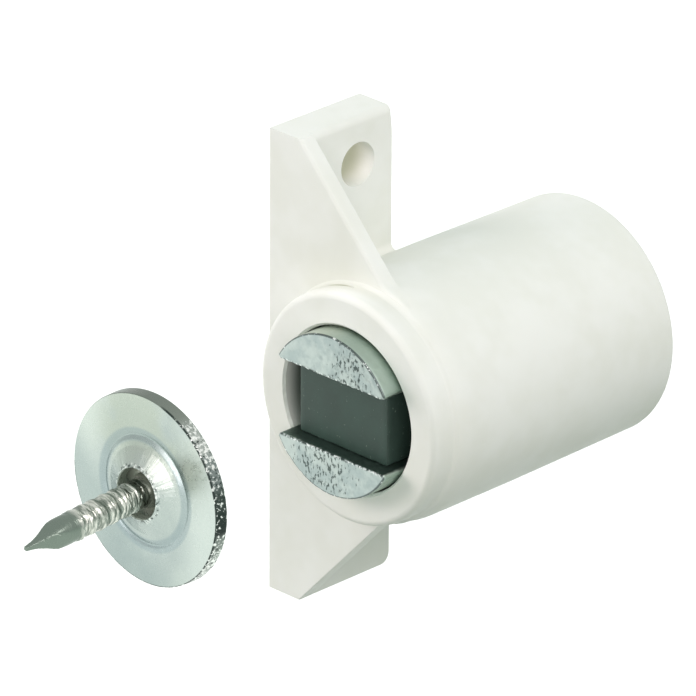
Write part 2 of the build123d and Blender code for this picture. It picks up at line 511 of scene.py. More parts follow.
@dataclass(frozen=True)
class MouldedWhite(Finish):
    """White ABS from a polished mould: an even, milky white with a soft, slightly waxy gloss.

    axis is the X of the bore's axis, bore its radius and mouth the Y of its front; hole is
    the screw holes' radius, height their distance from the middle and skin their depth;
    crease is the middle of the crease over the ring, and thin squeezes its line across.
    Shade is painted deep in the bore and the screw holes, and along the crease.
    """

    axis: float
    bore: float
    mouth: float
    hole: float
    height: float
    skin: float
    crease: tuple[float, float, float]
    name: str = "moulded_white_abs"
    colour: str = "#F3F4EF"
    cloud_colour: str = "#EEEFE8"
    bore_shade_colour: str = "#78837A"
    painted_shade_colour: str = "#B7BAA4"
    bore_shade_length: float = 14.0 * MM
    cloud: float = 6.0 * MM
    peel: float = 0.9 * MM
    thin: tuple[float, float, float] = (0.12, 1.0, 0.12)

    def painted_crease_shade(self, add: Adder, place: Any) -> bpy.types.Node:
        """Find the painted shade along the crease over the ring, as a thin line with a faint halo.

        Args:
            add: Adds a node to the material.
            place: The socket of object coordinates.

        Returns:
            The node that gives the mask.
        """
        squeezed = add("Mapping", {"Vector": place, "Scale": self.thin})
        middle = tuple(Vector(self.crease) * Vector(self.thin))
        away = add("VectorMath", {0: squeezed, 1: middle}, operation="DISTANCE")
        line = add("MapRange", {0: away, 1: 0.24 * MM, 2: 0.1 * MM, 3: 0.0, 4: 0.8}, **EASED)
        halo = add("MapRange", {0: away, 1: 1.1 * MM, 2: 0.2 * MM, 3: 0.0, 4: 0.3}, **EASED)
        return add("Math", {0: line, 1: halo}, operation="MAXIMUM")

    def shade(self, add: Adder, place: Any) -> Sockets:
        """Clouding from the melt's flow, the skin's unevenness, and painted shade in the bore,
        the screw holes and the crease.

        Args:
            add: Adds a node to the material.
            place: The socket of object coordinates.

        Returns:
            What goes into the shader's sockets.
        """
        melt = add("TexNoise", lumps(place, self.cloud))
        cloud = add("MapRange", {0: melt, 1: 0.35, 2: 0.65}, **EASED)
        peel = add("TexNoise", lumps(place, self.peel, 2.0))
        axes = add("SeparateXYZ", {0: place}).outputs
        across = add("Math", {0: axes["X"], 1: self.axis}, operation="SUBTRACT")
        reach = length(add, {0: across, 2: axes["Z"]})
        # Painted shade: the bore's wall is coloured darker deeper in, over a stretch behind the
        # mouth.
        within = add("MapRange", {0: reach, 1: self.bore + 0.1 * MM, 2: self.bore}, **EASED)
        lit, dim = self.mouth + 0.1 * MM, self.mouth + 2.2 * MM
        deep = add("MapRange", {0: axes["Y"], 1: lit, 2: dim}, **EASED)
        behind = self.mouth + self.bore_shade_length
        ahead = add("MapRange", {0: axes["Y"], 1: behind + 2 * MM, 2: behind}, **EASED)
        # Painted shade: the screw holes' walls are coloured darker deeper in.
        height = add("Math", {0: axes["Z"]}, operation="ABSOLUTE")
        up = add("Math", {0: height, 1: self.height}, operation="SUBTRACT")
        away = length(add, {1: axes["Y"], 2: up})
        outer, inner = self.hole + 0.08 * MM, self.hole + 0.02 * MM
        drilled = add("MapRange", {0: away, 1: outer, 2: inner}, **EASED)
        brim, depth = self.skin - 0.1 * MM, 0.2 * self.skin
        sunk = add("MapRange", {0: axes["X"], 1: brim, 2: depth}, **EASED)
        return {
            "Base Color": coats(
                add,
                self.cloud_colour,
                (cloud, self.colour),
                # Painted shade in the screw holes.
                (overlap(add, drilled, sunk), self.painted_shade_colour),
                # Painted shade along the crease over the ring.
                (self.painted_crease_shade(add, place), self.painted_shade_colour),
                # Painted shade deep in the bore.
                (overlap(add, within, deep, ahead), self.bore_shade_colour),
            ),
            "Roughness": add("MapRange", {0: peel, 1: 0.2, 2: 0.8, 3: 0.4, 4: 0.48}, **EASED),
            "Normal": add("Bump", {"Height": peel, "Strength": 0.2, "Distance": 0.01 * MM}),
            "IOR": 1.5,
            "Specular IOR Level": 0.12,
            "Subsurface Weight": 0.12,
            "Subsurface Radius": (0.9, 0.9, 0.8),
            "Subsurface Scale": 0.5 * MM,
        }


@dataclass(frozen=True)
class ScuffedZinc(Finish):
    """Bright zinc plate on a steel pole, pitted and scratched dark where the strike lands.

    axis is the X of the round edge's axis and radius its radius, front the working face's
    Y, chord the height of the straight edge, worn the middle of the scuffed patch and reach
    how far its scratches spread.
    """

    name: str
    axis: float
    radius: float
    front: float
    chord: float
    worn: tuple[float, float, float]
    reach: float
    colour: str = "#AFBAB6"
    cloud_colour: str = "#9EABA9"
    side_colour: str = "#A5B7AC"
    side_painted_light: str = "#C3CEC1"
    chord_painted_reflection: str = "#687B73"
    pit_colour: str = "#3A4643"
    painted_glint_colour: str = "#EDF2EF"
    cloud: float = 1.6 * MM
    scratch: float = 0.42 * MM
    steepness: float = 14.0

    def scuffed(self, add: Adder, place: Any) -> bpy.types.Node:
        """Find the broken scratches, which thin out away from the worn patch.

        Args:
            add: Adds a node to the material.
            place: The socket of object coordinates.

        Returns:
            The node that gives the mask.
        """
        drawn = add("Mapping", {"Vector": place, "Scale": (1.6, 1.0, 0.8)})
        scratch = add("TexNoise", lumps(drawn, self.scratch, 6.0))
        away = add("VectorMath", {0: place, 1: self.worn}, operation="DISTANCE")
        near, far = 0.2 * self.reach, 1.5 * self.reach
        limit = add("MapRange", {0: away, 1: near, 2: far, 3: 0.51, 4: 0.72}, **EASED)
        above = add("Math", {0: scratch, 1: limit}, operation="SUBTRACT")
        steep = add("Math", {0: above, 1: self.steepness}, operation="MULTIPLY")
        return add("MapRange", {0: steep, 1: 0.0, 2: 1.0}, **EASED)

    def shade(self, add: Adder, place: Any) -> Sockets:
        """Clouded plating, with broken scratches on the face and painted glints along its edges,
        and a side with painted light and a painted reflection.

        Args:
            add: Adds a node to the material.
            place: The socket of object coordinates.

        Returns:
            What goes into the shader's sockets.
        """
        axes = add("SeparateXYZ", {0: place}).outputs
        across = add("Math", {0: axes["X"], 1: self.axis}, operation="SUBTRACT")
        out = length(add, {0: across, 2: axes["Z"]})
        upright = add("Math", {0: axes["Z"]}, operation="ABSOLUTE")
        height = add("Math", {0: upright, 1: self.chord}, operation="SUBTRACT")
        behind, ahead = self.front + 0.16 * MM, self.front + 0.05 * MM
        facing = add("MapRange", {0: axes["Y"], 1: behind, 2: ahead}, **EASED)
        clouds = add("TexNoise", lumps(place, self.cloud, 4.0))
        cloud = add("MapRange", {0: clouds, 1: 0.38, 2: 0.6}, **EASED)
        # Painted light: the side is coloured lighter towards the left.
        left = add("MapRange", {0: across, 1: 1.5 * MM, 2: -2.0 * MM}, **EASED)
        # Painted reflection: the flat chord face is coloured dark, like the dark magnet mirrored in
        # it.
        below = add("MapRange", {0: height, 1: 0.05 * MM, 2: 0.0}, **EASED)
        side = coats(add, self.side_colour, (left, self.side_painted_light), (below, self.chord_painted_reflection))
        pitted = overlap(add, self.scuffed(add, place), facing)
        edge = add("MapRange", {0: height, 1: 0.26 * MM, 2: 0.03 * MM}, **EASED)
        speckle = add("TexNoise", lumps(place, 0.28 * MM, 4.0))
        # Painted glints: pale specks along the straight edge and the round edge.
        burr = add("MapRange", {0: speckle, 1: 0.53, 2: 0.58}, **EASED)
        nick = add("MapRange", {0: speckle, 1: 0.5, 2: 0.45}, **EASED)
        inner, outer = self.radius - 0.16 * MM, self.radius - 0.08 * MM
        arc_edge = add("MapRange", {0: out, 1: inner, 2: outer}, **EASED)
        behind, ahead = self.front + 0.2 * MM, self.front + 0.12 * MM
        rim = overlap(add, arc_edge, add("MapRange", {0: axes["Y"], 1: behind, 2: ahead}, **EASED))
        line = add("MapRange", {0: speckle, 1: 0.66, 2: 0.58}, **EASED)
        glint = add("MapRange", {0: speckle, 1: 0.62, 2: 0.66}, **EASED)
        fine = add("TexNoise", lumps(place, 0.35 * MM))
        dents = add("Math", {0: fine, 1: pitted}, operation="SUBTRACT")
        return {
            "Base Color": coats(
                add,
                side,
                (facing, coats(add, self.cloud_colour, (cloud, self.colour))),
                (overlap(add, pitted, 0.85), self.pit_colour),
                (overlap(add, burr, edge, facing), self.painted_glint_colour),
                (overlap(add, nick, edge, facing), self.pit_colour),
                (overlap(add, line, rim, 0.8), self.pit_colour),
                (overlap(add, glint, rim), self.painted_glint_colour),
            ),
            "Metallic": 1.0,
            "Roughness": add("MapRange", {0: fine, 1: 0.3, 2: 0.7, 3: 0.3, 4: 0.5}, **EASED),
            "Normal": add("Bump", {"Height": dents, "Strength": 0.6, "Distance": 0.02 * MM}),
        }


@dataclass(frozen=True)
class Ferrite(Finish):
    """Sintered ferrite, ground flat: a matt charcoal with a green cast and faint grinding marks."""

    name: str = "sintered_ferrite"
    colour: str = "#32473F"
    dark_colour: str = "#2D3F38"
    speck_colour: str = "#6B7A70"
    smudge: float = 2.2 * MM
    speck: float = 0.3 * MM

    def shade(self, add: Adder, place: Any) -> Sockets:
        """Smudges drawn out along the grinding, and fine specks.

        Args:
            add: Adds a node to the material.
            place: The socket of object coordinates.

        Returns:
            What goes into the shader's sockets.
        """
        drawn = add("Mapping", {"Vector": place, "Scale": (1.0, 1.0, 0.7)})
        smudges = add("TexNoise", lumps(drawn, self.smudge, 4.0))
        smudge = add("MapRange", {0: smudges, 1: 0.3, 2: 0.7}, **EASED)
        grit = add("TexNoise", lumps(place, self.speck, 4.0))
        speck = add("MapRange", {0: grit, 1: 0.66, 2: 0.72}, **EASED)
        return {
            "Base Color": coats(
                add, self.dark_colour, (smudge, self.colour), (speck, self.speck_colour)
            ),
            "Roughness": 0.55,
            "Normal": add("Bump", {"Height": grit, "Strength": 0.4, "Distance": 0.008 * MM}),
            "IOR": 1.5,
        }


@dataclass(frozen=True)
class PressedZinc(Finish):
    """Bright zinc plate on a pressed disc: cool and softly stained, coarse where it was sheared.

    centre is the disc's middle, radius its outside radius, hole its punched hole's radius
    and door the Y of the face that meets the door. The first table holds the sheared edge's
    colours round the disc, as 0..1 from -X through -Z: its own grey with painted light and
    shade, darkest where the edge faces +X and lightest towards the upper right. TORN says
    there how high the torn steel has to stand to carry a painted glint, and how low it has
    to lie to look dark.
    """

    SHEARED_TONES_AND_PAINTED_LIGHT: ClassVar[tuple[tuple[float, str], ...]] = (
        (0.28, "#7C867E"),
        (0.42, "#87918A"),
        (0.462, "#6F7973"),
        (0.475, "#262F2C"),
        (0.508, "#2A3430"),
        (0.545, "#4E5853"),
        (0.555, "#6F7A76"),
        (0.60, "#7F8A86"),
        (0.612, "#A3ACA5"),
        (0.655, "#9AA39C"),
        (0.678, "#7E877E"),
        (0.75, "#6C766D"),
    )
    TORN: ClassVar[tuple[tuple[float, float, float], ...]] = (
        (0.30, 0.60, 0.40),
        (0.42, 0.52, 0.42),
        (0.47, 0.62, 0.40),
        (0.50, 0.62, 0.30),
        (0.53, 0.58, 0.44),
        (0.56, 0.58, 0.43),
        (0.61, 0.54, 0.38),
        (0.665, 0.53, 0.38),
        (0.68, 0.90, 0.05),
    )

    centre: tuple[float, float, float]
    radius: float
    hole: float
    door: float
    name: str = "zinc_plated_pressed_steel"
    colour: str = "#ACB7B2"
    stain_colour: str = "#9BA7A5"
    warm_colour: str = "#A7B1A5"
    painted_light_sides_colour: str = "#C2CCC6"
    painted_shade_foot_colour: str = "#8C9B9A"
    painted_groove_shade_colour: str = "#86979A"
    glint_colour: str = "#DDE3DD"
    pit_colour: str = "#333D39"
    punched_colour: str = "#8E998D"
    groove: float = 4.5 * MM
    stain: float = 3.2 * MM
    warm: float = 5.5 * MM
    tear: float = 0.28 * MM
    streak: float = 9.0

    def sheared(self, add: Adder, tear: Any, angle: Any) -> bpy.types.Node:
        """Colour the sheared edge, smooth at the top and torn on one side, with painted light.

        Args:
            add: Adds a node to the material.
            tear: The torn steel's noise.
            angle: The angle round the disc, as 0..1 from -X through -Z.

        Returns:
            The node that gives the colour.
        """
        # Painted light and shade: the edge's own grey is coloured lighter and darker round the
        # disc.
        base = add("ValToRGB", {0: angle}, stops=self.SHEARED_TONES_AND_PAINTED_LIGHT)
        crests = [(at, (crest, crest, crest, 1.0)) for at, crest, _ in self.TORN]
        hollows = [(at, (hollow, hollow, hollow, 1.0)) for at, _, hollow in self.TORN]
        crest = add("ValToRGB", {0: angle}, stops=crests)
        hollow = add("ValToRGB", {0: angle}, stops=hollows)
        below = add("Math", {0: hollow, 1: tear}, operation="SUBTRACT")
        above = add("Math", {0: tear, 1: crest}, operation="SUBTRACT")
        dark = add("MapRange", {0: below, 1: 0.0, 2: 0.03}, **EASED)
        # Painted glints on the torn steel that stands high.
        bright = add("MapRange", {0: above, 1: -0.03, 2: 0.01}, **EASED)
        return coats(add, base, (dark, self.pit_colour), (bright, self.glint_colour))

    def stained(self, add: Adder, place: Any, across: Any, up: Any, reach: Any) -> bpy.types.Node:
        """Colour the face: painted light at its sides, bluer painted shade at the foot and groove.

        Args:
            add: Adds a node to the material.
            place: The socket of object coordinates.
            across: The distance to the right of the middle.
            up: The distance above the middle.
            reach: The distance from the disc's axis.

        Returns:
            The node that gives the colour.
        """
        stains = add("TexNoise", lumps(place, self.stain, 4.0))
        stain = add("MapRange", {0: stains, 1: 0.36, 2: 0.64}, **EASED)
        patches = add("TexNoise", lumps(place, self.warm, 2.0))
        warm = add("MapRange", {0: patches, 1: 0.42, 2: 0.6}, **EASED)
        high = add("MapRange", {0: up, 1: -1.0 * MM, 2: 4.0 * MM}, **EASED)
        # Painted light: the face is coloured brighter towards its left and right sides.
        off = add("Math", {0: across}, operation="ABSOLUTE")
        sides = add("MapRange", {0: off, 1: 3.0 * MM, 2: 6.5 * MM, 3: 0.0, 4: 0.75}, **EASED)
        # Painted shade: the face is coloured duller and bluer towards the lower left.
        fall = add("Math", {0: up, 1: across}, operation="ADD")
        low = add("MapRange", {0: fall, 1: -2.5 * MM, 2: -7.5 * MM}, **EASED)
        # Painted shade: a duller, bluer band over the groove, on the door side only.
        start, end = self.groove + 0.75 * MM, self.groove + 0.45 * MM
        outer = add("MapRange", {0: reach, 1: start, 2: end}, **EASED)
        start, end = self.groove - 0.6 * MM, self.groove - 0.35 * MM
        inner = add("MapRange", {0: reach, 1: start, 2: end}, **EASED)
        depth = add("SeparateXYZ", {0: place}).outputs["Y"]
        start, end = self.door + 0.5 * MM, self.door + 0.3 * MM
        door_side = add("MapRange", {0: depth, 1: start, 2: end, 3: 0.0, 4: 0.55}, **EASED)
        return coats(
            add,
            self.colour,
            (overlap(add, stain, 0.6), self.stain_colour),
            (overlap(add, warm, high, 0.8), self.warm_colour),
            (sides, self.painted_light_sides_colour),
            (overlap(add, low, 0.6), self.painted_shade_foot_colour),
            (overlap(add, outer, inner, door_side), self.painted_groove_shade_colour),
        )

    def shade(self, add: Adder, place: Any) -> Sockets:
        """Stains on the face, coining streaks round the boss, the sheared edge and the hole,
        with painted light and shade on the face and edge, and painted glints.

        Args:
            add: Adds a node to the material.
            place: The socket of object coordinates.

        Returns:
            What goes into the shader's sockets.
        """
        arm = add("VectorMath", {0: place, 1: self.centre}, operation="SUBTRACT")
        axes = add("SeparateXYZ", {0: arm}).outputs
        depth = add("SeparateXYZ", {0: place}).outputs["Y"]
        turned = add("Math", {0: axes["Z"], 1: axes["X"]}, operation="ARCTAN2")
        turns = add("Math", {0: turned, 1: TURN}, operation="DIVIDE")
        angle = add("Math", {0: turns, 1: 0.5}, operation="ADD")
        flat = add("CombineXYZ", {0: axes["X"], 2: axes["Z"]})
        reach = add("VectorMath", {0: flat}, operation="LENGTH")
        ray = add("VectorMath", {0: flat}, operation="NORMALIZE")
        streaks = add("TexNoise", lumps(ray, 1 / self.streak, 4.0))
        boss = add("MapRange", {0: reach, 1: 4.2 * MM, 2: 3.2 * MM}, **EASED)
        fine = add("TexNoise", lumps(place, 0.3 * MM))
        tear = add("TexNoise", lumps(place, self.tear, 4.0))
        start, end = self.radius - 0.1 * MM, self.radius - 0.07 * MM
        side = add("MapRange", {0: reach, 1: start, 2: end}, **EASED)
        start, end = self.door + 0.2 * MM, self.door + 0.1 * MM
        near = add("MapRange", {0: depth, 1: start, 2: end}, **EASED)
        start, end = self.radius - 0.16 * MM, self.radius - 0.1 * MM
        edge = add("MapRange", {0: reach, 1: start, 2: end}, **EASED)
        upper = add("MapRange", {0: angle, 1: 0.72, 2: 0.70}, **EASED)
        broken = add("MapRange", {0: tear, 1: 0.62, 2: 0.54}, **EASED)
        start, end = self.hole + 0.5 * MM, self.hole + 0.25 * MM
        lip = add("MapRange", {0: reach, 1: start, 2: end}, **EASED)
        raised = add("MapRange", {0: tear, 1: 0.54, 2: 0.58}, **EASED)
        sunk = add("MapRange", {0: tear, 1: 0.44, 2: 0.4}, **EASED)
        start, end = self.hole + 0.12 * MM, self.hole + 0.04 * MM
        inside = add("MapRange", {0: reach, 1: start, 2: end}, **EASED)
        faint, coined = overlap(add, fine, 0.12), overlap(add, streaks, boss)
        height = add("Math", {0: faint, 1: coined}, operation="ADD")
        return {
            "Base Color": coats(
                add,
                self.stained(add, place, axes["X"], axes["Z"], reach),
                (side, self.sheared(add, tear, angle)),
                (overlap(add, edge, near, upper, broken), self.pit_colour),
                (overlap(add, raised, lip), self.glint_colour),
                (overlap(add, sunk, lip, 0.8), self.pit_colour),
                (inside, self.punched_colour),
            ),
            "Metallic": add("MapRange", {0: inside, 1: 0.0, 2: 1.0, 3: 1.0, 4: 0.35}, **EASED),
            "Roughness": add("MapRange", {0: fine, 1: 0.3, 2: 0.7, 3: 0.25, 4: 0.35}, **EASED),
            "Normal": add("Bump", {"Height": height, "Strength": 0.6, "Distance": 0.09 * MM}),
        }


@dataclass(frozen=True)
class DrawnWire(Finish):
    """Bright drawn wire, rolled into ridges and cut to a point: silver, duller on the cut.

    cut is the Y at which the point begins and root the Y at which the shank leaves its hole.
    """

    cut: float
    root: float
    name: str = "bright_drawn_steel"
    colour: str = "#CDD1C7"
    dull_colour: str = "#7D867C"
    cut_colour: str = "#727F75"
    painted_light_root_colour: str = "#A9AD9F"
    scratch: float = 0.3 * MM
    blotch: float = 0.7 * MM

    def shade(self, add: Adder, place: Any) -> Sockets:
        """Blotches and fine scratches, drawn out round the nail as the rollers left them.

        Args:
            add: Adds a node to the material.
            place: The socket of object coordinates.

        Returns:
            What goes into the shader's sockets.
        """
        depth = add("SeparateXYZ", {0: place}).outputs["Y"]
        rolled = add("Mapping", {"Vector": place, "Scale": (0.4, 1.6, 0.4)})
        scratch = add("TexNoise", lumps(rolled, self.scratch))
        blotches = add("TexNoise", lumps(rolled, self.blotch, 4.0))
        blotch = add("MapRange", {0: blotches, 1: 0.42, 2: 0.58}, **EASED)
        point = add("MapRange", {0: depth, 1: self.cut + 0.5 * MM, 2: self.cut - 0.4 * MM}, **EASED)
        # Painted light: near the hole the shank is coloured lighter and less metallic.
        root = add("MapRange", {0: depth, 1: self.root, 2: self.root + 0.6 * MM}, **EASED)
        return {
            "Base Color": coats(
                add,
                self.dull_colour,
                (blotch, self.colour),
                (overlap(add, root, 0.8), self.painted_light_root_colour),
                (point, self.cut_colour),
            ),
            "Metallic": add("MapRange", {0: root, 1: 0.0, 2: 1.0, 3: 1.0, 4: 0.4}, **EASED),
            "Roughness": add("MapRange", {0: scratch, 1: 0.3, 2: 0.7, 3: 0.2, 4: 0.4}, **EASED),
            "Normal": add("Bump", {"Height": scratch, "Strength": 0.4, "Distance": 0.01 * MM}),
        }


# ---------------------------------------------------------------------------
# The catch
# ---------------------------------------------------------------------------


@dataclass
class Housing:
    """The moulded housing: flange, gusset walls, barrel, ring and bore, in one skin."""

    flange_width: float = 10.2 * MM
    flange_thickness: float = 3.4 * MM
    upper_corner: float = 0.3 * MM
    lower_corner: float = 0.9 * MM
    top_edge: float = 0.65 * MM
    flange_blend: float = 0.6 * MM
    ring_height: float = 2.4 * MM
    ring_step: float = 0.5 * MM
    ring_edge: float = 0.6 * MM
    flank: float = 0.45 * MM
    shoulder: float = 1.4 * MM
    barrel_radius: float = 10.2 * MM
    barrel_draft: float = 0.15 * MM
    rear_edge: float = 0.3 * MM
    gusset_thickness: float = 1.4 * MM
    gusset_angle: float = math.radians(47)
    gusset_blend: float = 2.0 * MM
    sink: float = 0.015 * MM
    gusset_upper_edge: float = 0.36 * MM
    gusset_lower_edge: float = 0.12 * MM
    bore_radius: float = 6.95 * MM
    bore_edge: float = 0.2 * MM
    core_radius: float = 5.0 * MM
    rear_wall: float = 2.5 * MM
    soft_edge: float = 0.1 * MM
    crease: float = 0.12 * MM
    crease_ahead: float = 0.6 * MM
    crease_from: float = math.radians(96)
    crease_to: float = math.radians(116)
    facets: int = 192

    def __post_init__(self) -> None:
        """Read the housing's place from its CAD node, its magnet and its screw mount."""
        low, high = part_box("housing")
        magnet_low, magnet_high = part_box("magnet")
        self.axis = Vector(((magnet_low.x + magnet_high.x) / 2, 0, 0))
        self.face = low.y
        self.front = low.y + self.ring_height
        self.rear = high.y
        self.half = high.z
        self.seat = magnet_high.y
        mounts = {mount["name"]: mount for mount in frame["record"]["mounts"]}
        sizes = mounts["screw_holes"]["dims"]
        self.hole = sizes["hole_r_mm"] * MM
        self.hole_height = sizes["spacing_y_mm"] * MM / 2

    def blend(self, angle: float, radius: float) -> list[Point]:
        """Round the inside corner between a flank of the flange and the barrel.

        Args:
            angle: How far the flank falls below +X.
            radius: The rounding's radius.

        Returns:
            (x, z) points from the flank to the barrel.
        """
        along = Vector((math.cos(angle), -math.sin(angle)))
        outward = Vector((math.sin(angle), math.cos(angle)))
        axis = Vector((self.axis.x, 0))
        offset = Vector((self.flange_thickness, self.half)) + outward * radius - axis
        reach = self.barrel_radius - self.sink + radius
        nearest = -offset.dot(along)
        travel = nearest - math.sqrt(nearest**2 - offset.dot(offset) + reach**2)
        centre = axis + offset + along * travel
        first = math.atan2(-outward.y, -outward.x)
        last = math.atan2(*(axis - centre).yx)
        return arc(tuple(centre), radius, first, last, 8)

    def web(self, angle: float, radius: float) -> list[Point]:
        """Outline a wall from the flange's ends to the barrel, closed inside the barrel.

        Args:
            angle: How far the wall's flanks fall below +X.
            radius: The rounding where they meet the barrel.

        Returns:
            The (x, z) outline.
        """
        upper = [(0.0, self.half), (self.flange_thickness, self.half)]
        upper += self.blend(angle, radius)
        x, z = upper[-1]
        last = math.atan2(z, x - self.axis.x)
        for step in range(1, 7):
            turn, reach = last - 0.08 * step, self.barrel_radius - self.sink * (1 + step**2)
            upper.append((self.axis.x + reach * math.cos(turn), reach * math.sin(turn)))
        lower = [(x, -z) for x, z in reversed(upper)]
        return upper + [(self.axis.x, 0.0)] + lower

    def flange(self) -> bpy.types.Object:
        """Extrude the flange with its top softened, and round its two back corners.

        Returns:
            The solid.
        """
        inset = self.gusset_thickness / 2
        outline = rounded(self.web(math.pi / 2, self.flange_blend), {1: self.top_edge}, 6)
        start = self.front + inset
        obj = plate("flange", outline, start, self.flange_width - inset)
        rear = self.front + self.flange_width
        near = 0.01 * MM
        for side, corner, reach in (
            (1, self.upper_corner, self.half - self.top_edge),
            (-1, self.lower_corner, self.half),
        ):
            edit(obj)
            pick_edges(
                obj,
                lambda e: all(abs(v.co.y - rear) < near for v in e.verts)
                and all(side * v.co.z > reach - near for v in e.verts),
            )
            bpy.ops.mesh.bevel(offset=corner, segments=6, affect="EDGES")
        put_down()
        return obj

    def gussets(self) -> bpy.types.Object:
        """Extrude the gusset walls and round their front edges, more at the top than below.

        Returns:
            The solid.
        """
        outline = self.web(self.gusset_angle, self.gusset_blend)
        obj = plate("gussets", outline, self.front, self.gusset_thickness)
        reach = outline[len(outline) // 2 - 1]
        near = 0.01 * MM
        for side, edge in ((1, self.gusset_upper_edge), (-1, self.gusset_lower_edge)):
            edit(obj)
            pick_edges(
                obj,
                lambda e: all(abs(v.co.y - self.front) < near for v in e.verts)
                and all(v.co.x > self.flange_thickness - near for v in e.verts)
                and all(side * v.co.z > reach[1] - near for v in e.verts),
            )
            bpy.ops.mesh.bevel(offset=edge, segments=5, affect="EDGES")
        put_down()
        return obj

    def barrel(self) -> bpy.types.Object:
        """Turn the barrel with the ring in front of it.

        Returns:
            The solid.
        """
        ring = self.barrel_radius - self.ring_step
        step = self.ring_step / 2
        front = [(0.0, self.face), (ring, self.face)]
        shares = [i / 8 for i in range(9)]
        slope = [(ring + step * t**2, self.front - self.flank * (1 - t)) for t in shares]
        slope += [
            (ring + step * (2 - (1 - t) ** 2), self.front + self.shoulder * t) for t in shares[1:]
        ]
        back = [
            (self.barrel_radius, self.front + self.flange_width),
            (self.barrel_radius - self.barrel_draft, self.rear),
            (0.0, self.rear),
        ]
        corner = len(front + slope) + 1
        roundings = {1: self.ring_edge, corner: self.rear_edge}
        profile = rounded(front + slope + back, roundings)
        return lathe("barrel", profile, self.axis, self.facets)

    def bore(self) -> bpy.types.Object:
        """Turn the stepped bore, as a solid to cut away.

        Returns:
            The solid.
        """
        beyond = self.face - MM
        profile = [
            (0.0, beyond),
            (self.bore_radius + self.bore_edge + MM, beyond),
            (self.bore_radius, self.face + self.bore_edge),
            (self.bore_radius, self.seat),
            (self.core_radius, self.seat),
            (self.core_radius, self.rear - self.rear_wall),
            (0.0, self.rear - self.rear_wall),
        ]
        return lathe("bore", profile, self.axis, self.facets)

    def crease_tool(self) -> bpy.types.Object:
        """Spin a thin bar part of the way round, to cut the short crease over the ring.

        Returns:
            The solid.
        """
        ring = self.barrel_radius - self.ring_step
        high, middle = ring + self.crease * 1.5, self.front - self.crease_ahead
        low, side = ring - 2 * self.crease, self.crease
        corners = [(low, middle), (high, middle - side), (high, middle + side)]
        turn = Matrix.Rotation(-self.crease_from, 3, "Y")
        points = [self.axis + turn @ Vector((r, y, 0)) for r, y in corners]
        obj = wire("crease", points)
        bpy.ops.mesh.select_all(action="SELECT")
        bpy.ops.mesh.edge_face_add()
        bpy.ops.mesh.spin(
            steps=12,
            angle=self.crease_to - self.crease_from,
            center=self.axis,
            axis=(0, 1, 0),
        )
        bpy.ops.mesh.select_all(action="SELECT")
        bpy.ops.mesh.remove_doubles(threshold=0.001 * MM)
        bpy.ops.mesh.fill_holes(sides=0)
        bpy.ops.mesh.normals_make_consistent(inside=False)
        put_down()
        return obj

    def drill(self, side: int) -> bpy.types.Object:
        """Place a drill in one screw hole.

        Args:
            side: 1 for the upper hole, -1 for the lower one.

        Returns:
            The solid.
        """
        put_down()
        bpy.ops.mesh.primitive_cylinder_add(
            vertices=96,
            radius=self.hole,
            depth=3 * self.flange_thickness,
            location=(0, 0, side * self.hole_height),
            rotation=(0, math.pi / 2, 0),
        )
        bpy.ops.object.transform_apply(location=True, rotation=True, scale=True)
        return bpy.context.object

    def build(self) -> None:
        """Make the housing, soften its edges and dress it."""
        obj = self.gussets()
        combine(obj, self.flange(), "UNION")
        combine(obj, self.barrel(), "UNION")
        combine(obj, self.bore(), "DIFFERENCE")
        combine(obj, self.crease_tool(), "DIFFERENCE")
        for side in (-1, 1):
            combine(obj, self.drill(side), "DIFFERENCE")
        edit(obj, "SELECT")
        bpy.ops.mesh.remove_doubles(threshold=0.01 * MM)
        bpy.ops.mesh.dissolve_limited(angle_limit=math.radians(0.5), delimit={"NORMAL"})
        put_down()
        take_up(obj)
        soften = obj.modifiers.new("soften", "BEVEL")
        soften.width = self.soft_edge
        soften.segments = 3
        soften.limit_method = "ANGLE"
        soften.angle_limit = math.radians(38)
        soften.miter_outer = "MITER_ARC"
        bpy.ops.object.modifier_apply(modifier=soften.name)
        smooth(obj, 32)
        take_up(obj)
        even = obj.modifiers.new("even", "WEIGHTED_NORMAL")
        even.keep_sharp = True
        bpy.ops.object.modifier_apply(modifier=even.name)
        put_down()
        middle = (self.crease_from + self.crease_to) / 2
        reach = self.barrel_radius - self.ring_step
        finish = MouldedWhite(
            axis=self.axis.x,
            bore=self.bore_radius,
            mouth=self.face,
            hole=self.hole,
            height=self.hole_height,
            skin=self.flange_thickness,
            crease=(
                self.axis.x + reach * math.cos(middle),
                self.front - self.crease_ahead,
                reach * math.sin(middle),
            ),
        )
        issue(obj, "housing", Body.CATCH, finish)


